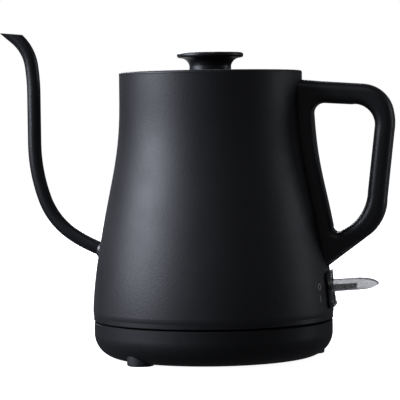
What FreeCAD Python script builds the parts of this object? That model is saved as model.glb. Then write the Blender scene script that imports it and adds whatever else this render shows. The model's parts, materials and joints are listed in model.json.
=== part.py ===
import FreeCAD, Part
import math
import os

# Electric gooseneck kettle on a separate power base.  Millimetres, +Z up.
# The origin is on the kettle's axis, level with the undersides of the feet.
# -X is the spout side, +X the handle side, +Y the rear with the cord inlet.

V = FreeCAD.Vector
UP = V(0, 0, 1)
ACROSS = V(0, 1, 0)
FAR = 200.0              # reach of the cutting tools, beyond every piece

# ---- screws: head radius, head height, shank radius, shank length ----
BASE_SCREW = (2.8, 1.6, 1.4, 12.0)
COVER_SCREW = (2.8, 1.3, 1.2, 9.0)
CONTROL_SCREW = (2.8, 1.6, 1.5, 18.0)
TOWER_SCREW = (2.2, 1.4, 1.25, 4.2)
KNOB_SCREW = (4.0, 2.4, 2.0, 23.0)
HANDLE_SCREWS = ((3.6, 2.2, 2.0, 10.5), (3.6, 2.2, 2.0, 8.0))

# ---- power base ----
BASE_R = 74.3            # outside radius of the housing
BASE_BOTTOM = 0.9        # flat underside of the housing
BASE_TOP = 23.1          # top edge of the housing's wall
BASE_CORNER = 15.0       # radius of the rounded lower corner
BASE_WALL = 2.2
SEAT_Z = 24.1            # plane on which the kettle stands
BAND_R = 74.6            # outside radius of the kettle's bottom band
EDGE_ROUND = 0.5
DECK_R = 71.8
DECK_TOP = 22.6
DECK_THICK = 2.0
SEAT_RING = (58.0, 62.0)  # inner and outer radius of the deck's raised seat
FOOT_R = 8.25
FOOT_CIRCLE = 62.6
FOOT_ANGLES = (-125.0, 21.0, 128.0)
FOOT_NAMES = ("foot_front", "foot_side", "foot_rear")
STEM_R = 2.6
DECK_BOSS_CIRCLE = 50.0
DECK_BOSS_ANGLES = (45.0, 135.0, 225.0, 315.0)
DECK_BOSS_FOOT = 8.0     # where the deck's bosses meet the housing's
BASE_SCREW_SEAT = 4.4
STEM_TOP = 6.4           # underside of a foot's head, inside the housing
GLAND_Z = 12.5
GLAND_R = 5.5
GLAND_BORE = 3.5
GLAND_Y = (66.0, 74.6)   # inner and outer end of the gland
TERMINAL_X = (-6.0, 0.0, 6.0)
TERMINAL_Y = 47.0
TERMINAL_HALF = 5.0      # half depth of the terminal block
TERMINAL_TOP = 16.5
TERMINAL_R = 1.8
BASE_LEAD_Z = 14.0

# ---- 360 degree connector on the kettle's axis ----
TOWER_R = 13.0
TOWER_TOP = 36.0
SOCKET_R = 13.6
SOCKET_TOP = 38.0
CONTACT_RING = 9.0       # mean radius of the ring contact
CONTACT_PIN_R = 2.0
PIN_BORE = 3.4
GROOVE_HALF = 1.4        # half width of the groove for the ring contact
GROOVE_BOTTOM = 24.0
TOWER_BOTTOM = 10.0
TOWER_FLANGE_R = 20.0
TOWER_FLANGE_Z = 17.6
TOWER_SCREW_CIRCLE = 16.5
TOWER_SCREW_ANGLES = (0.0, 180.0)
CONTROL_R = 24.0
CONTROL_TOP = 48.0
CONTROL_SCREW_CIRCLE = 18.0
CONTROL_SCREW_SEAT = 40.0

# ---- kettle shell: outside radius at chosen heights ----
SHELL_WALL = 1.2
SHELL_BOTTOM = 27.1
RIM_TOP = 177.4
RIM_INNER = 54.9
LEDGE_Z = 174.5          # ledge inside the mouth that carries the lid
LEDGE_R = 50.5
SHELL_CURVE = ((74.95, 30.0), (73.45, 48.6), (69.3, 75.0), (63.9, 102.0),
               (59.0, 128.0), (57.3, 145.0), (56.85, 161.0), (56.8, 175.6))
SHELL_FOOT = (74.86, 28.4)     # a point on the shell's rolled lower edge
FLOOR_TOP = 62.0
FLOOR_THICK = 1.0
SPREADER_R = 45.5
SPREADER_THICK = 3.0
ELEMENT_CIRCLE = 38.0
ELEMENT_R = 3.5
STUD_CIRCLE = 66.0
STUD_ANGLES = (60.0, 180.0, 300.0)
STUD_R = 3.0
STUD_BORE = 1.2
COVER_THICK_Z = 2.5      # thickness of the bottom cover's plate
COVER_SCREW_SINK = 1.4
LEAD_TAIL_ANGLE = 30.0   # the element's two ends, either side of +X
LEAD_TAIL_R = 1.6
LEAD_TAIL_LENGTH = 11.0
LEAD_Z = 45.0

# ---- spout: arcs as (radius, turn in degrees), both runs start on the riser ----
SPOUT_R = 4.25
SPOUT_BORE = 3.55
RISER_X = -113.4
RISER_BOTTOM = 134.2
RISER_TOP = 165.6
SPOUT_LOWER = ((103.0, 20.0), (46.0, 37.0), (91.0, 13.0))
SPOUT_UPPER = ((125.0, 8.0), (28.0, 42.0))
SPOUT_ROOT_RUN = 6.0
SPOUT_TIP_RUN = 10.0
SPOUT_TIP_Z = 203.3
SPOUT_TIP_TILT = 5.0
SPOUT_TIP_X = -127.6     # where the tilted cut crosses SPOUT_TIP_Z

# ---- lid ----
LID_R = 54.4
LID_TOP = 176.9
LID_THICK = 1.4
GASKET_THICK = 1.0
PLUG_R = 49.8
PLUG_BOTTOM = 158.0
PLUG_WALL = 1.4
KNOB_R = 20.6
KNOB_TOP = 189.1
KNOB_NECK = 12.95
KNOB_NECK_TOP = 180.9
KNOB_SHOULDER = (18.8, 186.0)  # where the hollow fillet meets the disc
KNOB_FACE_R = 19.4
LID_HOLE = 2.2           # radius of the hole for the knob's screw
VENT_R = 1.5
VENT_X = -32.0
POST_R = 5.5
KNOB_SCREW_SINK = 2.6

# ---- handle, outlines in the XZ plane ----
HANDLE_HALF = 9.6        # half of its width along Y
HANDLE_ROUND = 5.3       # rounding of its long edges
COVER_THICK = 2.2
COVER_HALF = 3.6         # narrower than the flat between the rounded edges
CAVITY_DEPTH = 7.0
HOLLOW_X = 78.0          # the grip is hollow beyond this x, and along its top beyond the next
HOLLOW_TOP_X = 71.6
HOLLOW_Z = (72.0, 155.0, 170.0)  # foot of the hollow, start of its top part, top
BRACKET_HALF = 6.0
BRACKET_BORE = 2.0

# ---- switch ----
PIVOT = (51.0, 41.0)     # x and z of the lever's pin
PIN_R = 1.25
LEVER_HALF = 5.8
LEVER_ROOT = (68.0, 40.4, 47.4)  # x, lower and upper z of the paddle's root
LEVER_NOSE_X = 103.4
LEVER_WALL = 1.2
LEVER_HOLLOW_X = (71.5, 90.2)
SHIELD_HALF = 7.2
SHIELD_R = 18.7
SHIELD_THICK = 1.4
SHIELD_REACH = (-14.6, 29.0)   # slope of the shield's ends, as rise over 40 mm
HOUSING_HALF = 11.2      # outside of the switch housing's two walls
HOUSING_WALL = 2.0
HOUSING_ROOF = (49.2, 50.6)
FRAME_HALF = 15.0
FRAME_PROUD = 1.4
FRAME_Z = (31.5, 53.1)
WINDOW_Z = (32.8, 52.2)
WINDOW_HALF = 7.0
BEZEL_HALF = 7.2
BEZEL_Z = (32.3, 54.2)
SLOT_Z = (33.9, 48.9)
MARK_Z = (45.6, 38.2)    # heights of the off and on marks
MARK_ANGLE = -19.3
MARK_R = (1.25, 2.0)     # inner and outer radius of the off mark
MARK_STROKE = 0.45       # half width of the on mark
INK_THICK = 0.12

STEAM_TUBE_X = 50.5
STEAM_TUBE_R = 3.6
STEAM_TUBE_Z = (56.0, 152.0)


def polar(radius, degrees, z=0.0):
    a = math.radians(degrees)
    return V(radius * math.cos(a), radius * math.sin(a), z)


def cylinder(radius, z0, z1, x=0.0, y=0.0):
    return Part.makeCylinder(radius, z1 - z0, V(x, y, z0), UP)


def ring(inner, outer, z0, z1, x=0.0, y=0.0):
    return cylinder(outer, z0, z1, x, y).cut(cylinder(inner, z0 - 1, z1 + 1, x, y))


def box(x, y, z):
    return Part.makeBox(x[1] - x[0], y[1] - y[0], z[1] - z[0], V(x[0], y[0], z[0]))


def front_box(x, half, z):
    """A box centred on Y = 0."""
    return box(x, (-half, half), z)


def rod(start, end, radius):
    return Part.makeCylinder(radius, (end - start).Length, start, end - start)


def curve(points):
    """A smooth edge in the XZ plane through (x, z) points."""
    spline = Part.BSplineCurve()
    spline.interpolate([V(x, 0, z) for x, z in points])
    return spline.toShape()


def line(a, b):
    return Part.makeLine(V(a[0], 0, a[1]), V(b[0], 0, b[1]))


def arc(a, middle, b):
    return Part.Arc(V(a[0], 0, a[1]), V(middle[0], 0, middle[1]), V(b[0], 0, b[1])).toShape()


def lines(*points):
    return [line(a, b) for a, b in zip(points, points[1:])]


def face(edges):
    return Part.Face(Part.Wire(Part.__sortEdges__(edges)))


def revolve(edges):
    """A solid turned about the kettle's axis from a closed outline of (radius, z) edges."""
    return face(edges).revolve(V(0, 0, 0), UP, 360)


def slab(edges, half):
    """A closed XZ outline given a thickness along Y, centred on Y = 0."""
    outline = face(edges)
    outline.translate(V(0, -half, 0))
    return outline.extrude(V(0, 2 * half, 0))


def union(shapes):
    shapes = list(shapes)
    return shapes[0].multiFuse(shapes[1:]).removeSplitter() if len(shapes) > 1 else shapes[0]


def group(shapes):
    return Part.makeCompound(list(shapes))


def save(name, shape):
    solids = shape.Solids
    assert solids and all(s.isValid() and s.Volume > 0 for s in solids), name
    result = solids[0] if len(solids) == 1 else Part.makeCompound(solids)
    result.exportStep("parts/" + name + ".step")


def screw(size, place, direction):
    """A pan-head screw whose head rests on `place`; the shank runs along `direction`."""
    head_r, head_h, shank_r, length = size
    head = Part.makeCylinder(head_r, head_h, place, direction * -1)
    shank = Part.makeCylinder(shank_r, length, place, direction)
    slot = Part.makeCylinder(head_r * 0.42, head_h * 0.6, place - direction * head_h, direction)
    return head.fuse(shank).cut(slot).removeSplitter()


# ---------------------------------------------------------------- kettle shell

def shell_foot_edge():
    return arc((BAND_R, SHELL_BOTTOM), SHELL_FOOT, SHELL_CURVE[0])


def shell_offset(points, inset):
    return tuple((r - inset, z) for r, z in points)


def shell_outside():
    """The full solid inside the shell's outer surface, used to trim what touches it."""
    last = SHELL_CURVE[-1]
    edges = [curve(SHELL_CURVE)]
    edges += lines(last, (last[0], FAR), (0, FAR), (0, SHELL_BOTTOM),
                   (BAND_R, SHELL_BOTTOM))
    edges.append(shell_foot_edge())
    return revolve(edges)


def shell_grown(amount, z0, z1):
    """A solid of revolution `amount` outside the shell, between two heights."""
    grown = shell_offset(SHELL_CURVE, -amount)
    edges = [curve(grown)]
    edges += lines(grown[-1], (0, grown[-1][1]), (0, grown[0][1]), grown[0])
    lower = cylinder(grown[0][0], SHELL_BOTTOM, grown[0][1])
    return revolve(edges).fuse(lower).common(cylinder(FAR, z0, z1))


def body_shell(spout_bore, window):
    """One drawn and painted steel shell with a rounded rim."""
    inner = shell_offset(SHELL_CURVE, SHELL_WALL)
    outer_top = SHELL_CURVE[-1]
    shoulder = (outer_top[0] - 0.25, RIM_TOP - 0.45)
    rim = (outer_top[0] - 0.9, RIM_TOP)
    edges = [curve(SHELL_CURVE), arc(outer_top, shoulder, rim)]
    edges += lines(rim, (inner[-1][0], RIM_TOP - 0.1), inner[-1])
    edges.append(curve(inner))
    edges += lines(inner[0], (BAND_R - SHELL_WALL, SHELL_BOTTOM), (BAND_R, SHELL_BOTTOM))
    edges.append(shell_foot_edge())
    return revolve(edges).cut(spout_bore).cut(window)


def mouth_ring(inside):
    """The pressed ring welded into the neck; its ledge carries the lid."""
    ledge = ring(LEDGE_R, FAR, LEDGE_Z - SHELL_WALL, LEDGE_Z)
    wall = ring(RIM_INNER, FAR, LEDGE_Z, RIM_TOP - EDGE_ROUND)
    return ledge.fuse(wall).common(inside).removeSplitter()


def vessel_inside():
    """The solid inside the shell's inner surface."""
    inner = shell_offset(SHELL_CURVE, SHELL_WALL)
    top = inner[-1]
    edges = [curve(inner)]
    edges += lines(top, (top[0], RIM_TOP), (0, RIM_TOP), (0, inner[0][1]), inner[0])
    return revolve(edges)


def vessel_floor(inside):
    disc = cylinder(FAR, FLOOR_TOP - FLOOR_THICK, FLOOR_TOP).common(inside)
    return disc.cut(cylinder(STEAM_TUBE_R, 0, FAR, STEAM_TUBE_X))


def steam_tube():
    """Carries steam from the top of the vessel down to the switch."""
    return ring(STEAM_TUBE_R - 0.6, STEAM_TUBE_R, STEAM_TUBE_Z[0], STEAM_TUBE_Z[1], STEAM_TUBE_X)


def heat_spreader():
    top = FLOOR_TOP - FLOOR_THICK
    return cylinder(SPREADER_R, top - SPREADER_THICK, top)


def heating_element():
    """A horseshoe of tubular element brazed under the spreader, with two cold tails."""
    z = FLOOR_TOP - FLOOR_THICK - SPREADER_THICK - ELEMENT_R
    sweep = 360 - 2 * LEAD_TAIL_ANGLE
    loop = Part.makeTorus(ELEMENT_CIRCLE, ELEMENT_R, V(0, 0, z), UP, 0, 360, sweep)
    loop.rotate(V(0, 0, 0), UP, LEAD_TAIL_ANGLE)
    tails = []
    for side in (-1, 1):
        end = polar(ELEMENT_CIRCLE, side * LEAD_TAIL_ANGLE, z)
        tails.append(Part.makeSphere(ELEMENT_R, end))
        tails.append(rod(end - UP * LEAD_TAIL_LENGTH, end, LEAD_TAIL_R))
    return union([loop] + tails)


def floor_studs():
    top = FLOOR_TOP - FLOOR_THICK
    studs = []
    for angle in STUD_ANGLES:
        p = polar(STUD_CIRCLE, angle)
        studs.append(ring(STUD_BORE, STUD_R, SEAT_Z + COVER_THICK_Z, top, p.x, p.y))
    return group(studs)


def bottom_cover():
    """The kettle's underside, with the thin band that shows below the shell."""
    plate_top = SEAT_Z + COVER_THICK_Z
    upstand_r = 67.9
    plate = cylinder(BAND_R, SEAT_Z, SHELL_BOTTOM)
    plate = plate.makeFillet(EDGE_ROUND, [e for e in plate.Edges if e.BoundBox.ZMax < SEAT_Z + 0.1])
    upstand = ring(upstand_r, upstand_r + 1.8, SHELL_BOTTOM, SHELL_BOTTOM + 4)
    recess = ring(SOCKET_R + 12, upstand_r, plate_top, SHELL_BOTTOM)
    cover = plate.fuse(upstand).cut(recess).cut(cylinder(SOCKET_R, 0, FAR))
    for angle in STUD_ANGLES:
        p = polar(STUD_CIRCLE, angle)
        cover = cover.cut(cylinder(STUD_BORE + 0.4, 0, FAR, p.x, p.y))
        cover = cover.cut(cylinder(STUD_R, 0, SEAT_Z + COVER_SCREW_SINK, p.x, p.y))
        cover = cover.cut(cylinder(STUD_R + 0.3, plate_top, FAR, p.x, p.y))
    return cover.removeSplitter()


def bottom_cover_screws():
    seat = SEAT_Z + COVER_SCREW_SINK
    return group(screw(COVER_SCREW, polar(STUD_CIRCLE, a, seat), UP) for a in STUD_ANGLES)


# ---------------------------------------------------------------- 360 degree connector

def control_body():
    """The heating control: socket below, posts up to the spreader above."""
    spreader = FLOOR_TOP - FLOOR_THICK - SPREADER_THICK
    bore = CONTROL_SCREW[2]
    body = cylinder(CONTROL_R, SHELL_BOTTOM, CONTROL_TOP).cut(cylinder(SOCKET_R, 0, SOCKET_TOP))
    places = [polar(CONTROL_SCREW_CIRCLE, angle) for angle in STUD_ANGLES]
    posts = [cylinder(bore + 2, CONTROL_TOP, spreader, p.x, p.y) for p in places]
    disc_holder = cylinder(3, CONTROL_TOP, spreader - 0.5)
    body = union([body, disc_holder] + posts)
    for p in places:
        body = body.cut(cylinder(bore, 0, FAR, p.x, p.y))
        body = body.cut(cylinder(CONTROL_SCREW[0] + 0.4, 0, CONTROL_SCREW_SEAT, p.x, p.y))
    return body.removeSplitter()


def control_screws():
    return group(screw(CONTROL_SCREW, polar(CONTROL_SCREW_CIRCLE, a, CONTROL_SCREW_SEAT), UP)
                 for a in STUD_ANGLES)


def dry_boil_disc():
    top = FLOOR_TOP - FLOOR_THICK - SPREADER_THICK
    return cylinder(8, top - 0.5, top)


def kettle_contacts():
    """The live pin and the ring blade that drop into the tower."""
    pin = cylinder(CONTACT_PIN_R, 28, SOCKET_TOP)
    tip = Part.makeSphere(CONTACT_PIN_R, V(0, 0, 28))
    blade = ring(CONTACT_RING - 0.4, CONTACT_RING + 0.4, 29, SOCKET_TOP)
    return group([pin.fuse(tip).removeSplitter(), blade])


def element_leads():
    """Two short leads from the control to the element's tails."""
    control = cylinder(CONTROL_R, 0, FAR)
    leads = []
    for side in (-1, 1):
        angle = side * LEAD_TAIL_ANGLE
        tail_end = polar(ELEMENT_CIRCLE, angle)
        tail = rod(tail_end, tail_end + UP * FAR, LEAD_TAIL_R)
        inner = polar(CONTROL_R, angle, LEAD_Z)
        outer = polar(ELEMENT_CIRCLE - 1.5, angle, LEAD_Z)
        leads.append(rod(inner, outer, 1.2).cut(control).cut(tail))
    return group(leads)


def contact_tower():
    """The insulated post on the base that the kettle drops over."""
    post = cylinder(TOWER_R, TOWER_BOTTOM, TOWER_TOP)
    post = post.makeChamfer(1.2, [e for e in post.Edges if e.BoundBox.ZMin > TOWER_TOP - 0.1])
    tower = post.fuse(cylinder(TOWER_FLANGE_R, TOWER_FLANGE_Z, DECK_TOP - DECK_THICK))
    groove = ring(CONTACT_RING - GROOVE_HALF, CONTACT_RING + GROOVE_HALF, GROOVE_BOTTOM, FAR)
    tower = tower.cut(cylinder(PIN_BORE, GROOVE_BOTTOM, FAR)).cut(groove)
    for angle in TOWER_SCREW_ANGLES:
        p = polar(TOWER_SCREW_CIRCLE, angle)
        tower = tower.cut(cylinder(TOWER_SCREW[2], 0, FAR, p.x, p.y))
    return tower.removeSplitter()


def tower_contacts():
    """A sleeve for the live pin and a band for the ring blade, pressed into the tower."""
    top = TOWER_TOP - 2
    band_r = CONTACT_RING - GROOVE_HALF
    sleeve = ring(CONTACT_PIN_R + 0.4, PIN_BORE, GROOVE_BOTTOM, top)
    band = ring(band_r, band_r + 0.6, GROOVE_BOTTOM, top)
    return group([sleeve, band])


def tower_screws():
    return group(screw(TOWER_SCREW, polar(TOWER_SCREW_CIRCLE, a, TOWER_FLANGE_Z), UP)
                 for a in TOWER_SCREW_ANGLES)


# ---------------------------------------------------------------- power base

def base_profile(inset):
    """Outline of the housing's bowl, `inset` inside its outer surface."""
    r = BASE_R - inset
    z = BASE_BOTTOM + inset
    corner = BASE_CORNER - inset
    centre = (r - corner, z + corner)
    bend = (centre[0] + corner * math.sin(math.pi / 4), centre[1] - corner * math.cos(math.pi / 4))
    edges = lines((0, BASE_TOP), (0, z), (centre[0], z))
    edges.append(arc((centre[0], z), bend, (r, centre[1])))
    edges += lines((r, centre[1]), (r, BASE_TOP - EDGE_ROUND), (r - EDGE_ROUND, BASE_TOP), (0, BASE_TOP))
    return edges


def gland_rod(radius, y0=0.0, y1=FAR):
    return rod(V(0, y0, GLAND_Z), V(0, y1, GLAND_Z), radius)


def base_housing(bowl):
    """The bowl of the base, with four screw bosses and holes for the feet and the gland."""
    housing = bowl.cut(revolve(base_profile(BASE_WALL)))
    bosses = [polar(DECK_BOSS_CIRCLE, angle) for angle in DECK_BOSS_ANGLES]
    for p in bosses:
        housing = housing.fuse(cylinder(4.5, BASE_BOTTOM + 1, DECK_BOSS_FOOT, p.x, p.y))
    for p in bosses:
        housing = housing.cut(cylinder(BASE_SCREW[2] + 0.2, 0, DECK_BOSS_FOOT + 1, p.x, p.y))
        housing = housing.cut(cylinder(BASE_SCREW[0] + 0.3, 0, BASE_SCREW_SEAT, p.x, p.y))
    for angle in FOOT_ANGLES:
        p = polar(FOOT_CIRCLE, angle)
        housing = housing.cut(cylinder(STEM_R, 0, DECK_BOSS_FOOT, p.x, p.y))
    return housing.cut(gland_rod(GLAND_R)).removeSplitter()


def base_deck():
    """The base's top plate, with a raised seat for the kettle and four screw bosses."""
    bottom = DECK_TOP - DECK_THICK
    deck = cylinder(DECK_R, bottom, DECK_TOP)
    deck = deck.fuse(ring(SEAT_RING[0], SEAT_RING[1], DECK_TOP - 0.5, SEAT_Z))
    bosses = [polar(DECK_BOSS_CIRCLE, angle) for angle in DECK_BOSS_ANGLES]
    for p in bosses:
        deck = deck.fuse(cylinder(4.0, DECK_BOSS_FOOT, bottom + 0.5, p.x, p.y))
    deck = deck.cut(cylinder(TOWER_R, 0, FAR))
    for p in bosses:
        deck = deck.cut(cylinder(BASE_SCREW[2], 0, 18, p.x, p.y))
    for angle in TOWER_SCREW_ANGLES:
        p = polar(TOWER_SCREW_CIRCLE, angle)
        deck = deck.cut(cylinder(TOWER_SCREW[2], 0, bottom + 1.4, p.x, p.y))
    return deck.removeSplitter()


def base_screws():
    return group(screw(BASE_SCREW, polar(DECK_BOSS_CIRCLE, a, BASE_SCREW_SEAT), UP)
                 for a in DECK_BOSS_ANGLES)


def foot(angle, bowl):
    """A rubber post pushed through the housing, with a wider head inside."""
    p = polar(FOOT_CIRCLE, angle)
    post = cylinder(FOOT_R, 0, BASE_CORNER, p.x, p.y)
    rim = [e for e in post.Edges if e.BoundBox.ZMax < 0.1]
    post = post.makeFillet(1.0, rim).cut(bowl)
    stem = cylinder(STEM_R, 1, STEM_TOP, p.x, p.y)
    head = Part.makeCone(4.0, 2.0, 2.6, V(p.x, p.y, STEM_TOP), UP)
    return union([post, stem, head])


def cord_gland():
    """The moulded bush that the supply lead enters through."""
    inner, outer = GLAND_Y
    flange = gland_rod(GLAND_R + 1.5, inner, inner + 3).common(revolve(base_profile(BASE_WALL)))
    bush = gland_rod(GLAND_R, inner, outer).fuse(flange)
    return bush.cut(gland_rod(GLAND_BORE)).removeSplitter()


def terminal_block():
    half_width = TERMINAL_X[-1] + TERMINAL_HALF
    depth = (TERMINAL_Y - TERMINAL_HALF, TERMINAL_Y + TERMINAL_HALF)
    block = box((-half_width, half_width), depth, (BASE_BOTTOM + BASE_WALL, TERMINAL_TOP))
    for x in TERMINAL_X:
        block = block.cut(cylinder(TERMINAL_R, BASE_LEAD_Z - 1, FAR, x, TERMINAL_Y))
    return block.removeSplitter()


def terminal_screws():
    """Slotted grub screws, one over each lead."""
    top = TERMINAL_TOP - 0.9
    screws = []
    for x in TERMINAL_X:
        blank = cylinder(TERMINAL_R, BASE_LEAD_Z - 1, top, x, TERMINAL_Y)
        slot = box((x - 2, x + 2), (TERMINAL_Y - 0.3, TERMINAL_Y + 0.3), (top - 0.6, top + 1))
        screws.append(blank.cut(slot))
    return group(screws)


def base_leads():
    """Three leads from the terminal block to the tower."""
    tower = cylinder(TOWER_R, 0, FAR)
    end = TERMINAL_Y - TERMINAL_HALF
    return group(rod(V(x, 5, BASE_LEAD_Z), V(x, end, BASE_LEAD_Z), 1.3).cut(tower) for x in TERMINAL_X)


# ---------------------------------------------------------------- spout

def bent_rod(radius, start, heading, steps, end_run):
    """A round bar that starts at (x, z), follows tangent arcs and ends with a straight run."""
    x, z = start
    angle = math.radians(heading)
    pieces = []
    for bend, turn in steps:
        centre = V(x - bend * math.sin(angle), 0, z + bend * math.cos(angle))
        along = V(math.cos(angle), 0, math.sin(angle))
        disc = Part.Face(Part.Wire(Part.makeCircle(radius, V(x, 0, z), along)))
        pieces.append(disc.revolve(centre, ACROSS * -1, turn))
        angle += math.radians(turn)
        x = centre.x + bend * math.sin(angle)
        z = centre.z - bend * math.cos(angle)
    along = V(math.cos(angle), 0, math.sin(angle))
    pieces.append(rod(V(x, 0, z), V(x, 0, z) + along * end_run, radius))
    return pieces, V(x, 0, z), along


def spout_bar(radius):
    """The whole bent bar of the spout, and the place and direction of its root."""
    lower, root, inward = bent_rod(radius, (RISER_X, RISER_BOTTOM), -90, SPOUT_LOWER, SPOUT_ROOT_RUN)
    upper = bent_rod(radius, (RISER_X, RISER_TOP), 90, SPOUT_UPPER, SPOUT_TIP_RUN)[0]
    riser = cylinder(radius, RISER_BOTTOM, RISER_TOP, RISER_X)
    return union(lower + [riser] + upper), root, inward


def spout_parts(outside):
    """The tube, its bore as a solid, and the welded collar at its root."""
    bar, root, inward = spout_bar(SPOUT_R)
    bore = spout_bar(SPOUT_BORE)[0]
    above = box((-FAR, RISER_X + 20), (-20, 20), (SPOUT_TIP_Z, SPOUT_TIP_Z + 30))
    above.rotate(V(SPOUT_TIP_X, 0, SPOUT_TIP_Z), ACROSS, SPOUT_TIP_TILT)
    tube = bar.cut(bore).cut(above).cut(outside)
    cone = Part.makeCone(4.6, 7.2, 5.0, root - inward * 2.2, inward)
    collar = cone.cut(bar).cut(bore).cut(outside)
    return tube, bore, collar


# ---------------------------------------------------------------- lid

def lid_cover():
    disc = cylinder(LID_R, LID_TOP - LID_THICK, LID_TOP)
    top = [e for e in disc.Edges if e.BoundBox.ZMin > LID_TOP - 0.01]
    disc = disc.makeFillet(0.6, top)
    return disc.cut(cylinder(LID_HOLE, 0, FAR)).cut(cylinder(VENT_R, 0, FAR, VENT_X)).removeSplitter()


def lid_gasket():
    top = LID_TOP - LID_THICK
    return ring(PLUG_R + 0.1, LID_R - 0.2, top - GASKET_THICK, top)


def lid_plug():
    """A cup under the lid with one screw post in the middle."""
    top = LID_TOP - LID_THICK
    cup = ring(PLUG_R - PLUG_WALL, PLUG_R, PLUG_BOTTOM, top)
    floor = cylinder(PLUG_R - 0.5, PLUG_BOTTOM, PLUG_BOTTOM + 1.6)
    plug = union([cup, floor, cylinder(POST_R, PLUG_BOTTOM, top)])
    plug = plug.cut(cylinder(LID_HOLE, 0, FAR))
    plug = plug.cut(cylinder(KNOB_SCREW[0] + 0.2, 0, PLUG_BOTTOM + KNOB_SCREW_SINK))
    return plug.cut(cylinder(VENT_R, 0, PLUG_BOTTOM + 5, VENT_X)).removeSplitter()


def lid_knob():
    """A turned knob: flat disc, hollow fillet below it and a round neck."""
    neck_top = (KNOB_NECK, KNOB_NECK_TOP)
    face_edge = (KNOB_FACE_R, KNOB_TOP)
    edges = lines((0, LID_TOP), (KNOB_NECK, LID_TOP), neck_top)
    edges.append(arc(neck_top, (14.1, 183.5), KNOB_SHOULDER))
    edges.append(arc(KNOB_SHOULDER, (KNOB_R, 187.4), face_edge))
    edges += lines(face_edge, (0, KNOB_TOP), (0, LID_TOP))
    return revolve(edges).cut(cylinder(KNOB_SCREW[2], 0, LID_TOP + 8))


def knob_screw():
    return screw(KNOB_SCREW, V(0, 0, PLUG_BOTTOM + KNOB_SCREW_SINK), UP)


# ---------------------------------------------------------------- handle

def handle_outer():
    """Outer outline of the loop in the XZ plane, closed well inside the kettle."""
    edges = lines((50, 172.2), (70, 170.3), (95.5, 168.4))
    edges.append(arc((95.5, 168.4), (107.3, 163.0), (113.4, 151.6)))
    edges.append(arc((113.4, 151.6), (114.1, 145.5), (113.6, 139.0)))
    edges += lines((113.6, 139.0), (108.9, 97.5))
    edges.append(arc((108.9, 97.5), (106.0, 85.2), (99.0, 76.2)))
    edges += lines((99.0, 76.2), (71.2, 55.6), (50, 55.6), (50, 172.2))
    return edges


def handle_opening():
    """The hand opening; its left side runs a constant distance from the kettle."""
    edges = [curve(((75.6, 81.5), (71.3, 101.7), (67.3, 121.5), (65.0, 140.0), (64.35, 149.5)))]
    edges.append(arc((64.35, 149.5), (65.9, 154.9), (70.5, 156.9)))
    edges += lines((70.5, 156.9), (87.5, 155.8))
    edges.append(arc((87.5, 155.8), (98.6, 152.2), (102.3, 143.0)))
    edges += lines((102.3, 143.0), (97.6, 102.5))
    edges.append(arc((97.6, 102.5), (94.4, 90.9), (87.0, 82.4)))
    edges += lines((87.0, 82.4), (79.8, 78.0))
    edges.append(arc((79.8, 78.0), (76.9, 78.4), (75.6, 81.5)))
    return edges


def grown_opening(amount, half):
    """The hand opening grown outwards, as a slab."""
    outline = Part.Wire(Part.__sortEdges__(handle_opening())).makeOffset2D(amount)
    return slab(outline.Edges, half)


def round_long_edges(shape, half, radius):
    """Round every edge that lies in the two flat sides of a slab."""
    sides = [e for e in shape.Edges if e.BoundBox.YMin > half - 0.01 or e.BoundBox.YMax < 0.01 - half]
    return shape.makeFillet(radius, sides)


def bracket_blocks():
    """Two steel blocks welded to the shell, each with a threaded hole along X."""
    upper = front_box((50, 62), BRACKET_HALF, (157, 165.5))
    lower = front_box((60, 77), BRACKET_HALF, (66, 75))
    return upper, lower


def handle_screw_places():
    """Head seats of the two handle screws, both driven towards -X."""
    return V(69, 0, 161.6), V(80.5, 0, 70.8)


def hollow_reach():
    """The stretch of the loop that is hollow and closed by the cover."""
    bottom, shelf, top = HOLLOW_Z
    arm = front_box((HOLLOW_X, FAR), HANDLE_HALF, (bottom, top))
    return arm.fuse(front_box((HOLLOW_TOP_X, FAR), HANDLE_HALF, (shelf, top)))


def handle_grip(outside):
    """The hollow plastic loop, with pockets for the brackets and their screws."""
    loop = slab(handle_outer(), HANDLE_HALF).cut(slab(handle_opening(), HANDLE_HALF))
    loop = round_long_edges(loop, HANDLE_HALF, HANDLE_ROUND)
    hollow = grown_opening(CAVITY_DEPTH, COVER_HALF).common(hollow_reach())
    loop = loop.cut(hollow).cut(outside)
    for block in bracket_blocks():
        loop = loop.cut(block)
    for place, reach in zip(handle_screw_places(), (8, 5)):
        loop = loop.cut(rod(place - V(9, 0, 0), place, BRACKET_BORE))
        loop = loop.cut(rod(place, place + V(reach, 0, 0), 4.0))
    return loop.Solids[0]


def grip_cover():
    """The strip that closes the hollow grip along the hand opening."""
    strip = grown_opening(COVER_THICK, COVER_HALF).cut(slab(handle_opening(), HANDLE_HALF))
    return strip.common(hollow_reach()).Solids[0]


def handle_brackets(outside):
    blocks = []
    for block, place in zip(bracket_blocks(), handle_screw_places()):
        blocks.append(block.cut(outside).cut(rod(place - V(12, 0, 0), place, BRACKET_BORE)))
    return blocks


def handle_screws():
    towards_kettle = V(-1, 0, 0)
    return group(screw(size, place, towards_kettle)
                 for size, place in zip(HANDLE_SCREWS, handle_screw_places()))


# ---------------------------------------------------------------- switch

def pivot_rod(radius, half):
    """A round bar on the lever's pivot, centred on Y = 0."""
    x, z = PIVOT
    return rod(V(x, -half, z), V(x, half, z), radius)


def window_cut():
    """The opening through the shell and the frame."""
    return front_box((60, 90), WINDOW_HALF, WINDOW_Z)


def switch_frame(outside):
    """The gloss frame that lies on the shell around the switch's window."""
    band = shell_grown(FRAME_PROUD, FRAME_Z[0], FRAME_Z[1]).cut(outside)
    blank = front_box((40, 90), FRAME_HALF, FRAME_Z)
    corners = [e for e in blank.Edges if e.BoundBox.XLength > 40]
    return band.common(blank.makeFillet(3.0, corners)).cut(window_cut())


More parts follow.
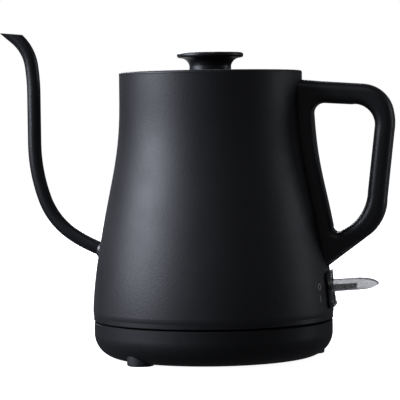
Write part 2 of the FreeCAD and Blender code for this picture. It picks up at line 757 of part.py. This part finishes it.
def switch_bezel():
    """The smoked plate over the frame: it follows the kettle's curve and flares at its foot."""
    bottom, top = BEZEL_Z
    lip = (77.3, bottom + 0.6)
    crown = (74.6, top)
    edges = [curve((crown, (75.2, 46.0), (76.0, 38.5), lip))]
    edges += lines(lip, (76.9, bottom), (60, bottom), (60, top), crown)
    plate = revolve(edges).common(front_box((50, 90), BEZEL_HALF, BEZEL_Z))
    flange = plate.cut(shell_grown(FRAME_PROUD, 20, 80))
    plug_z = (WINDOW_Z[0] + 0.2, WINDOW_Z[1] - 0.2)
    plug = plate.common(front_box((70.8, 90), WINDOW_HALF - 0.2, plug_z))
    slot = front_box((60, 90), LEVER_HALF + 0.35, SLOT_Z)
    return flange.fuse(plug).cut(slot).removeSplitter()


def lever_outline():
    """Side outline of the paddle, from its neck inside the slot to the round tip."""
    root_x, root_bottom, root_top = LEVER_ROOT
    nose_top = (91.3, 49.0)
    nose_bottom = (91.3, 42.2)
    nose = (nose_bottom, (97.9, 43.0), (101.4, 44.2), (LEVER_NOSE_X, 45.8),
            (101.4, 47.3), (97.9, 48.4), nose_top)
    edges = lines((root_x, root_bottom), nose_bottom)
    edges.append(curve(nose))
    edges += lines(nose_top, (root_x, root_top), (root_x, root_bottom))
    return edges


def lever_paddle():
    """The thumb paddle: round in plan, solid at its nose, hollow below with one long rib."""
    plan = front_box((60, LEVER_NOSE_X), LEVER_HALF, (30, 60))
    front = [e for e in plan.Edges if e.BoundBox.XMin > LEVER_NOSE_X - 0.1 and e.BoundBox.ZLength > 20]
    paddle = slab(lever_outline(), LEVER_HALF).common(plan.makeFillet(LEVER_HALF - 0.4, front))
    x0, x1 = LEVER_HOLLOW_X
    underside = slab(lines((x0, 30), (x0, 44.9), (x1, 46.0), (x1, 30), (x0, 30)), LEVER_HALF - LEVER_WALL)
    long_rib = front_box((70, 100), 0.5, (30, 60))
    return paddle.cut(underside.cut(long_rib))


def switch_lever():
    """Paddle, curved shield, arm, hub and tail of the rocker, moulded in one piece."""
    x, z = PIVOT
    root_x, root_bottom, root_top = LEVER_ROOT
    hub = pivot_rod(4.0, SHIELD_HALF)
    arm = front_box((x, root_x + 0.6), 4, (z + 0.2, z + 5.6))
    tail = front_box((x - 10, x), 3, (z - 1.3, z + 1.3))
    low, high = SHIELD_REACH
    wedge = slab(lines((x, z), (x + 40, z + low), (x + 40, z + high), (x, z)), SHIELD_HALF)
    shield = pivot_rod(SHIELD_R, SHIELD_HALF).cut(pivot_rod(SHIELD_R - SHIELD_THICK, FAR)).common(wedge)
    neck = front_box((root_x, root_x + 1), LEVER_HALF, (root_bottom, root_top))
    lever = union([hub, arm, tail, shield, neck, lever_paddle()])
    return lever.cut(pivot_rod(PIN_R + 0.05, FAR)).removeSplitter()


def lever_pin():
    return pivot_rod(PIN_R, HOUSING_HALF)


def switch_housing():
    """The bracket inside the kettle that carries the lever's pin and the steam disc."""
    under, top = HOUSING_ROOF
    inner = HOUSING_HALF - HOUSING_WALL
    sides = ((-HOUSING_HALF, -inner), (inner, HOUSING_HALF))
    walls = [box((44, 68.5), side, (SHELL_BOTTOM, top)) for side in sides]
    roof = front_box((36, 63), HOUSING_HALF, HOUSING_ROOF)
    sole = front_box((44, 64), HOUSING_HALF, (SHELL_BOTTOM, SHELL_BOTTOM + top - under))
    housing = union(walls + [roof, sole]).cut(pivot_rod(PIN_R, FAR))
    housing = housing.cut(cylinder(STEAM_TUBE_R + 0.9, under - 1, top + 1, STEAM_TUBE_X))
    return housing.cut(ring(67.4, 80, 0, SHELL_BOTTOM + 4.4)).removeSplitter()


def steam_disc():
    """The snap-action bimetal disc below the steam tube."""
    top = HOUSING_ROOF[1]
    return cylinder(6.5, top, top + 0.5, STEAM_TUBE_X)


def switch_contacts():
    """The contact block under the housing's roof, open below for the lever's tail."""
    top = HOUSING_ROOF[0]
    block = front_box((36, 43.6), 6, (top - 3.6, top))
    return block.cut(front_box((38, 41.6), 3, (top - 4, top - 2.6)))


def switch_marks():
    """Off and on symbols printed beside the lever, as thin raised ink."""
    inner, outer = MARK_R
    off = rod(V(60, 0, 0), V(90, 0, 0), outer).cut(rod(V(50, 0, 0), V(95, 0, 0), inner))
    on = front_box((60, 90), MARK_STROKE, (-outer, outer))
    off.translate(V(0, 0, MARK_Z[0]))
    on.translate(V(0, 0, MARK_Z[1]))
    ink = shell_grown(INK_THICK, 30, 52).cut(shell_outside())
    marks = []
    for mark in (off, on):
        mark.rotate(V(0, 0, 0), UP, MARK_ANGLE)
        marks.append(mark.common(ink))
    return group(marks)


def build():
    os.makedirs("parts", exist_ok=True)
    outside = shell_outside()
    inside = vessel_inside()
    bowl = revolve(base_profile(0))
    spout_tube, bore, collar = spout_parts(outside)
    bracket_top, bracket_bottom = handle_brackets(outside)

    save("base_housing", base_housing(bowl))
    save("base_deck", base_deck())
    save("base_screws", base_screws())
    for name, angle in zip(FOOT_NAMES, FOOT_ANGLES):
        save(name, foot(angle, bowl))
    save("contact_tower", contact_tower())
    save("tower_contacts", tower_contacts())
    save("tower_screws", tower_screws())
    save("cord_gland", cord_gland())
    save("terminal_block", terminal_block())
    save("terminal_screws", terminal_screws())
    save("base_leads", base_leads())

    save("body_shell", body_shell(bore, window_cut()))
    save("mouth_ring", mouth_ring(inside))
    save("spout_tube", spout_tube)
    save("spout_collar", collar)
    save("vessel_floor", vessel_floor(inside))
    save("steam_tube", steam_tube())
    save("heat_spreader", heat_spreader())
    save("heating_element", heating_element())
    save("element_leads", element_leads())
    save("floor_studs", floor_studs())
    save("control_body", control_body())
    save("control_screws", control_screws())
    save("dry_boil_disc", dry_boil_disc())
    save("kettle_contacts", kettle_contacts())
    save("bottom_cover", bottom_cover())
    save("bottom_cover_screws", bottom_cover_screws())

    save("handle_grip", handle_grip(outside))
    save("grip_cover", grip_cover())
    save("handle_bracket_top", bracket_top)
    save("handle_bracket_bottom", bracket_bottom)
    save("handle_screws", handle_screws())

    save("switch_frame", switch_frame(outside))
    save("switch_bezel", switch_bezel())
    save("switch_housing", switch_housing())
    save("steam_disc", steam_disc())
    save("switch_contacts", switch_contacts())
    save("switch_marks", switch_marks())
    save("lever_pin", lever_pin())
    save("switch_lever", switch_lever())

    save("lid_cover", lid_cover())
    save("lid_gasket", lid_gasket())
    save("lid_plug", lid_plug())
    save("lid_knob", lid_knob())
    save("knob_screw", knob_screw())


build()
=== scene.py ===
import json
import math

import bpy
from mathutils import Matrix, Vector

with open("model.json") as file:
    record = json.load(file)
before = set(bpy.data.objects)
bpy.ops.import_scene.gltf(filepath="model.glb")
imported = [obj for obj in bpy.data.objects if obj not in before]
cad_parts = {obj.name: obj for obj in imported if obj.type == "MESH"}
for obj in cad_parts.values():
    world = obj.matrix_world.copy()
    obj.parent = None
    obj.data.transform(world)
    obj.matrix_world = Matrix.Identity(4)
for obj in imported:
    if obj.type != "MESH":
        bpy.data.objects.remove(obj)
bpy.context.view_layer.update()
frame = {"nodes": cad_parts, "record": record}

# A gooseneck kettle on its power base.  Metres, +Z up, the frame's own coordinates.
# The CAD nodes keep their meshes.  This script adds their materials, a floor, lamps and a camera.

MM = 0.001

# ---- camera: a long lens, a little above the middle of the kettle; angles in radians ----
VIEW_AZIMUTH = math.radians(10.0)
VIEW_DISTANCE = 1.235
VIEW_HEIGHT = 0.1486
VIEW_PITCH = math.radians(2.361)
VIEW_LATERAL = math.radians(0.348)
VIEW_ROLL = 0.0135
LENS_MM = 178.6
SENSOR_MM = 36.0
CLIP_START = 0.05

# ---- stage and lamps: metres, watts, and azimuths in degrees from the -Y side towards +X ----
FLOOR_RADIUS = 9.0
FLOOR_GREY = 0.86
FLOOR_MOTTLING = 0.01
FLOOR_ROUGHNESS = 0.9
FLOOR_GLOSS = 0.1
FLOOR_GLOW = 0.95
AIM_HEIGHT = 0.1
STUDIO_GREY = (0.082, 0.084, 0.092, 1.0)
KEY_COLOR = (0.82, 0.86, 1.0)
FILL_COLOR = (0.88, 0.92, 1.0)
BACK_COLOR = (0.9, 0.93, 1.0)

# ---- the part of a noise pattern's 0..1 range that its values mostly fill ----
NOISE_LOW = 0.3
NOISE_HIGH = 0.7

SLOT_OF = {part["node"]: part["material_slot"] for part in frame["record"]["subparts"]}


# ------------------------------------------------------------------ shader helpers

class Shader:
    """One Principled material.  Patterns use object coordinates; their sizes are in millimetres."""

    def __init__(self, name, color, roughness, metallic=0.0):
        self.material = bpy.data.materials.new(name)
        self.material.use_nodes = True
        self.tree = self.material.node_tree
        self.bsdf = self.tree.nodes["Principled BSDF"]
        self.bsdf.inputs["Base Color"].default_value = (*color, 1.0)
        self.bsdf.inputs["Roughness"].default_value = roughness
        self.bsdf.inputs["Metallic"].default_value = metallic
        self.coords = self.tree.nodes.new("ShaderNodeTexCoord")
        self.last_normal = None

    def set(self, **values):
        for key, value in values.items():
            self.bsdf.inputs[key.replace("_", " ")].default_value = value

    def link(self, source, target):
        self.tree.links.new(source, target)

    def noise(self, size_mm, detail=3.0):
        node = self.tree.nodes.new("ShaderNodeTexNoise")
        node.inputs["Scale"].default_value = 1.0 / (size_mm * MM)
        node.inputs["Detail"].default_value = detail
        self.link(self.coords.outputs["Object"], node.inputs["Vector"])
        return node.outputs["Fac"]

    def grain(self, per_metre):
        """Noise with its own frequency along each axis, for grain that runs one way."""
        mapping = self.tree.nodes.new("ShaderNodeMapping")
        mapping.inputs["Scale"].default_value = per_metre
        self.link(self.coords.outputs["Object"], mapping.inputs["Vector"])
        node = self.tree.nodes.new("ShaderNodeTexNoise")
        node.inputs["Scale"].default_value = 1.0
        node.inputs["Detail"].default_value = 4.0
        self.link(mapping.outputs["Vector"], node.inputs["Vector"])
        return node.outputs["Fac"]

    def cells(self, size_mm):
        node = self.tree.nodes.new("ShaderNodeTexVoronoi")
        node.inputs["Scale"].default_value = 1.0 / (size_mm * MM)
        self.link(self.coords.outputs["Object"], node.inputs["Vector"])
        return node.outputs["Distance"]

    def rings(self, scale):
        """Slightly uneven rings round the Z axis, 2 pi / (20 scale) metres apart."""
        node = self.tree.nodes.new("ShaderNodeTexWave")
        node.wave_type = "RINGS"
        node.rings_direction = "Z"
        node.inputs["Scale"].default_value = scale
        node.inputs["Distortion"].default_value = 0.6
        self.link(self.coords.outputs["Object"], node.inputs["Vector"])
        return node.outputs["Fac"]

    def ramp(self, source, low, high):
        """Maps a 0..1 pattern to the range low..high, with its middle stretched."""
        node = self.tree.nodes.new("ShaderNodeMapRange")
        node.inputs["From Min"].default_value = NOISE_LOW
        node.inputs["From Max"].default_value = NOISE_HIGH
        node.inputs["To Min"].default_value = low
        node.inputs["To Max"].default_value = high
        self.link(source, node.inputs["Value"])
        return node.outputs["Result"]

    def tint(self, source, first, second):
        """Mixes the base colour from first to second, as the pattern goes from 0 to 1."""
        node = self.tree.nodes.new("ShaderNodeMix")
        node.data_type = "RGBA"
        node.inputs["A"].default_value = (*first, 1.0)
        node.inputs["B"].default_value = (*second, 1.0)
        self.link(source, node.inputs["Factor"])
        self.link(node.outputs["Result"], self.bsdf.inputs["Base Color"])

    def rough(self, source, low, high):
        """Varies the roughness from low to high with the pattern."""
        self.link(self.ramp(source, low, high), self.bsdf.inputs["Roughness"])

    def bump(self, source, height_mm, strength=1.0):
        """Adds relief of a real height; calls stack."""
        node = self.tree.nodes.new("ShaderNodeBump")
        node.inputs["Distance"].default_value = height_mm * MM
        node.inputs["Strength"].default_value = strength
        self.link(source, node.inputs["Height"])
        if self.last_normal:
            self.link(self.last_normal, node.inputs["Normal"])
        self.last_normal = node.outputs["Normal"]
        self.link(self.last_normal, self.bsdf.inputs["Normal"])


def scaled(color, factor):
    return tuple(c * factor for c in color)


# ------------------------------------------------------------------ materials

BLACK = (0.0068, 0.0070, 0.0080)
SMOKE_DARK = (0.39, 0.39, 0.40)
SMOKE_PALE = (0.48, 0.48, 0.485)
STRAW = (0.36, 0.29, 0.20)
BLUE_STEEL = (0.20, 0.21, 0.27)


def powder_coat(name, color, roughness):
    """Satin powder paint: fine orange peel, faint cloudiness and handling marks."""
    s = Shader(name, color, roughness)
    clouds = s.noise(26.0)
    handling = s.noise(22.0, 5.0)
    orange_peel = s.noise(1.3, 2.0)
    fine_peel = s.noise(0.6, 2.0)
    powder = s.cells(0.35)
    s.tint(clouds, scaled(color, 0.82), scaled(color, 1.2))
    s.rough(handling, roughness - 0.03, roughness + 0.035)
    s.bump(orange_peel, 0.058)
    s.bump(fine_peel, 0.022)
    s.bump(powder, 0.004, 0.7)
    return s.material


def moulded_plastic(name, color, roughness, grain_mm, gloss=0.5):
    """Black plastic with a spark-eroded mould grain."""
    s = Shader(name, color, roughness)
    s.set(Specular_IOR_Level=gloss)
    clouds = s.noise(18.0)
    handling = s.noise(12.0, 4.0)
    sparks = s.cells(grain_mm)
    wave = s.noise(grain_mm * 3.0)
    s.tint(clouds, scaled(color, 0.85), scaled(color, 1.15))
    s.rough(handling, roughness - 0.03, roughness + 0.04)
    s.bump(sparks, 0.006, 0.8)
    s.bump(wave, 0.004)
    return s.material


def turned_plastic(name, color, roughness):
    """The knob: hard plastic with faint concentric turning lines."""
    s = Shader(name, color, roughness)
    clouds = s.noise(9.0)
    handling = s.noise(7.0)
    turning = s.rings(700.0)
    grain = s.cells(0.4)
    s.tint(clouds, scaled(color, 0.88), scaled(color, 1.14))
    s.rough(handling, roughness - 0.03, roughness + 0.03)
    s.bump(turning, 0.003, 0.5)
    s.bump(grain, 0.003, 0.6)
    return s.material


def smoked_plastic(name, roughness):
    """Grey translucent acrylic with slight haze inside."""
    s = Shader(name, SMOKE_DARK, roughness)
    s.set(IOR=1.49, Transmission_Weight=0.72)
    haze = s.noise(5.0)
    polish = s.noise(3.0)
    flow = s.noise(1.4)
    s.tint(haze, SMOKE_DARK, SMOKE_PALE)
    s.rough(polish, roughness - 0.04, roughness + 0.06)
    s.bump(flow, 0.01, 0.6)
    return s.material


def brushed_metal(name, color, roughness, grain=(900.0, 900.0, 30.0)):
    """Metal with fine parallel scratches along one axis."""
    s = Shader(name, color, roughness, metallic=1.0)
    clouds = s.noise(15.0)
    scratches = s.grain(grain)
    s.tint(clouds, scaled(color, 0.9), color)
    s.rough(scratches, roughness - 0.08, roughness + 0.1)
    s.bump(scratches, 0.004, 0.6)
    return s.material


def stamped_metal(name, color, roughness):
    """Small stamped or plated parts: soft mottling and tiny dents."""
    s = Shader(name, color, roughness, metallic=1.0)
    mottling = s.noise(3.0)
    smears = s.noise(1.8, 4.0)
    dents = s.noise(0.8)
    s.tint(mottling, scaled(color, 0.82), color)
    s.rough(smears, roughness - 0.06, roughness + 0.1)
    s.bump(dents, 0.01, 0.5)
    return s.material


def heat_tinted(name, roughness):
    """The element's sheath, with straw and blue bands from heating."""
    s = Shader(name, BLUE_STEEL, roughness, metallic=1.0)
    bands = s.noise(14.0, 2.0)
    scale = s.noise(4.0)
    pitting = s.noise(0.6)
    s.tint(bands, STRAW, BLUE_STEEL)
    s.rough(scale, roughness - 0.05, roughness + 0.12)
    s.bump(pitting, 0.008, 0.6)
    return s.material


def rubber(name, color, roughness):
    """Rubber, and the soft insulation of the leads: cloudy, with a fine matt skin."""
    s = Shader(name, color, roughness)
    bloom = s.noise(6.0)
    scuffs = s.noise(2.0)
    skin = s.noise(0.5)
    s.tint(bloom, scaled(color, 0.85), scaled(color, 1.3))
    s.rough(scuffs, roughness - 0.05, roughness + 0.08)
    s.bump(skin, 0.012, 0.8)
    return s.material


def filled_nylon(name, color, roughness):
    """Glass-filled nylon: flow lines and short pale fibres."""
    s = Shader(name, color, roughness)
    fibres = s.grain((120.0, 500.0, 260.0))
    skin = s.noise(0.7)
    s.tint(fibres, scaled(color, 0.82), scaled(color, 1.08))
    s.rough(fibres, roughness - 0.06, roughness + 0.08)
    s.bump(skin, 0.01, 0.7)
    return s.material


def silicone(name, color, roughness):
    """The lid's gasket: milky silicone that lets a little light in."""
    s = Shader(name, color, roughness)
    s.set(Subsurface_Weight=0.25, Subsurface_Scale=0.002)
    clouds = s.noise(4.0)
    smears = s.noise(2.5)
    skin = s.noise(0.7)
    s.tint(clouds, scaled(color, 0.9), scaled(color, 1.08))
    s.rough(smears, roughness - 0.05, roughness + 0.06)
    s.bump(skin, 0.006, 0.6)
    return s.material


def printed_ink(name, color, roughness):
    """Pad-printed ink, uneven where it is thin."""
    s = Shader(name, color, roughness)
    coverage = s.noise(0.5)
    gloss = s.noise(0.6)
    pinholes = s.noise(0.25)
    s.tint(coverage, scaled(color, 0.75), color)
    s.rough(gloss, roughness - 0.06, roughness + 0.06)
    s.bump(pinholes, 0.004, 0.6)
    return s.material


# Each slot's recipe and its values.  First come the colour, unless the recipe has its own, and
# the roughness.  Moulded plastic adds its grain in millimetres and a specular level, and brushed
# metal the frequency of its scratches along each axis.
FINISHES = {
    "shell_paint": (powder_coat, BLACK, 0.50),
    "spout_paint": (powder_coat, scaled(BLACK, 0.8), 0.36),
    "lid_paint": (powder_coat, scaled(BLACK, 0.9), 0.42),
    "knob_plastic": (turned_plastic, scaled(BLACK, 0.8), 0.36),
    "handle_plastic": (moulded_plastic, scaled(BLACK, 0.75), 0.42, 0.45),
    "base_plastic": (moulded_plastic, scaled(BLACK, 0.6), 0.52, 0.6, 0.36),
    "band_plastic": (moulded_plastic, scaled(BLACK, 0.7), 0.46, 0.6, 0.4),
    "frame_plastic": (moulded_plastic, scaled(BLACK, 0.5), 0.32, 0.5, 0.12),
    "smoke_plastic": (smoked_plastic, 0.22),
    "control_plastic": (filled_nylon, (0.58, 0.55, 0.48), 0.5),
    "tower_plastic": (filled_nylon, (0.016, 0.016, 0.018), 0.45),
    "foot_rubber": (rubber, (0.008, 0.008, 0.009), 0.6),
    "gasket_silicone": (silicone, (0.30, 0.30, 0.31), 0.4),
    "stainless": (brushed_metal, (0.56, 0.56, 0.57), 0.3),
    "weld_steel": (powder_coat, (0.03, 0.03, 0.033), 0.3),
    "screw_steel": (stamped_metal, (0.55, 0.55, 0.57), 0.28),
    "aluminium": (brushed_metal, (0.72, 0.73, 0.75), 0.34, (40.0, 900.0, 900.0)),
    "element_steel": (heat_tinted, 0.36),
    "brass": (stamped_metal, (0.72, 0.52, 0.22), 0.24),
    "bimetal": (brushed_metal, (0.50, 0.45, 0.38), 0.3, (30.0, 900.0, 900.0)),
    "lead_insulation": (rubber, (0.36, 0.03, 0.025), 0.4),
    "mark_ink": (printed_ink, (0.42, 0.42, 0.43), 0.55),
}


def dress_cad_nodes():
    """Gives every CAD node the material of its record slot."""
    materials = {slot: recipe(slot, *values) for slot, (recipe, *values) in FINISHES.items()}
    for name, obj in frame["nodes"].items():
        material = materials[SLOT_OF[name]]
        if obj.material_slots:
            for place in obj.material_slots:
                place.material = material
        else:
            obj.data.materials.append(material)


# ------------------------------------------------------------------ stage, light and camera

def make_floor():
    """A large pale disc; the lamps, not the floor, set the kettle's reflections."""
    bpy.ops.mesh.primitive_circle_add(vertices=96, radius=FLOOR_RADIUS, fill_type="NGON")
    floor = bpy.context.object
    floor.name = "floor"
    s = Shader("floor_white", (FLOOR_GREY,) * 3, FLOOR_ROUGHNESS)
    patches = s.noise(300.0)
    s.tint(patches, (FLOOR_GREY - FLOOR_MOTTLING,) * 3, (FLOOR_GREY + FLOOR_MOTTLING,) * 3)
    s.set(Emission_Color=(1, 1, 1, 1), Emission_Strength=FLOOR_GLOW, Specular_IOR_Level=FLOOR_GLOSS)
    floor.data.materials.append(s.material)
    floor.visible_glossy = False
    floor.visible_diffuse = False


def softbox(name, azimuth, distance, height, size, watts, color=(1.0, 1.0, 1.0)):
    """An area lamp that faces the kettle."""
    lamp = bpy.data.lights.new(name, "AREA")
    lamp.shape = "RECTANGLE"
    lamp.size, lamp.size_y = size
    lamp.energy = watts
    lamp.color = color
    obj = bpy.data.objects.new(name, lamp)
    angle = math.radians(azimuth)
    outward = Vector((math.sin(angle), -math.cos(angle), 0.0))
    place = outward * distance + Vector((0, 0, height))
    target = Vector((0, 0, AIM_HEIGHT))
    obj.location = place
    obj.rotation_euler = (target - place).to_track_quat("-Z", "Y").to_euler()
    bpy.context.collection.objects.link(obj)


def make_lights():
    softbox("key_left", azimuth=-65.5, distance=1.3, height=0.66,
            size=(0.95, 0.8), watts=33.0, color=KEY_COLOR)
    softbox("fill_right", azimuth=108.0, distance=1.6, height=0.3,
            size=(0.3, 1.2), watts=3.2, color=FILL_COLOR)
    softbox("back", azimuth=205.0, distance=1.4, height=0.9,
            size=(0.9, 0.6), watts=20.0, color=BACK_COLOR)
    softbox("top", azimuth=10.0, distance=1.2, height=1.5,
            size=(0.8, 0.5), watts=1.0)


def make_world():
    """White to the camera, dim grey to everything else, as in a dark studio with a lit wall."""
    world = bpy.data.worlds.new("studio")
    world.use_nodes = True
    bpy.context.scene.world = world
    tree = world.node_tree
    background = tree.nodes["Background"]
    background.inputs["Color"].default_value = STUDIO_GREY
    wall = tree.nodes.new("ShaderNodeBackground")
    wall.inputs["Color"].default_value = (1.0, 1.0, 1.0, 1.0)
    path = tree.nodes.new("ShaderNodeLightPath")
    mix = tree.nodes.new("ShaderNodeMixShader")
    tree.links.new(path.outputs["Is Camera Ray"], mix.inputs["Fac"])
    tree.links.new(background.outputs["Background"], mix.inputs[1])
    tree.links.new(wall.outputs["Background"], mix.inputs[2])
    tree.links.new(mix.outputs["Shader"], tree.nodes["World Output"].inputs["Surface"])


def make_camera():
    data = bpy.data.cameras.new("camera")
    data.lens = LENS_MM
    data.sensor_width = SENSOR_MM
    data.clip_start = CLIP_START
    camera = bpy.data.objects.new("camera", data)
    bpy.context.collection.objects.link(camera)
    outward = Vector((math.sin(VIEW_AZIMUTH), -math.cos(VIEW_AZIMUTH), 0.0))
    place = outward * VIEW_DISTANCE + Vector((0, 0, VIEW_HEIGHT))
    heading = VIEW_AZIMUTH + VIEW_LATERAL
    level = Vector((-math.sin(heading), math.cos(heading), 0.0))
    forward = level * math.cos(VIEW_PITCH) - Vector((0, 0, math.sin(VIEW_PITCH)))
    right = forward.cross(Vector((0, 0, 1))).normalized()
    up = right.cross(forward)
    rolled_right = right * math.cos(VIEW_ROLL) - up * math.sin(VIEW_ROLL)
    rolled_up = right * math.sin(VIEW_ROLL) + up * math.cos(VIEW_ROLL)
    axes = Matrix((rolled_right, rolled_up, -forward)).transposed()
    camera.matrix_world = Matrix.Translation(place) @ axes.to_4x4()
    bpy.context.scene.camera = camera


bpy.context.scene.view_settings.view_transform = "Standard"
dress_cad_nodes()
make_floor()
make_lights()
make_world()
make_camera()
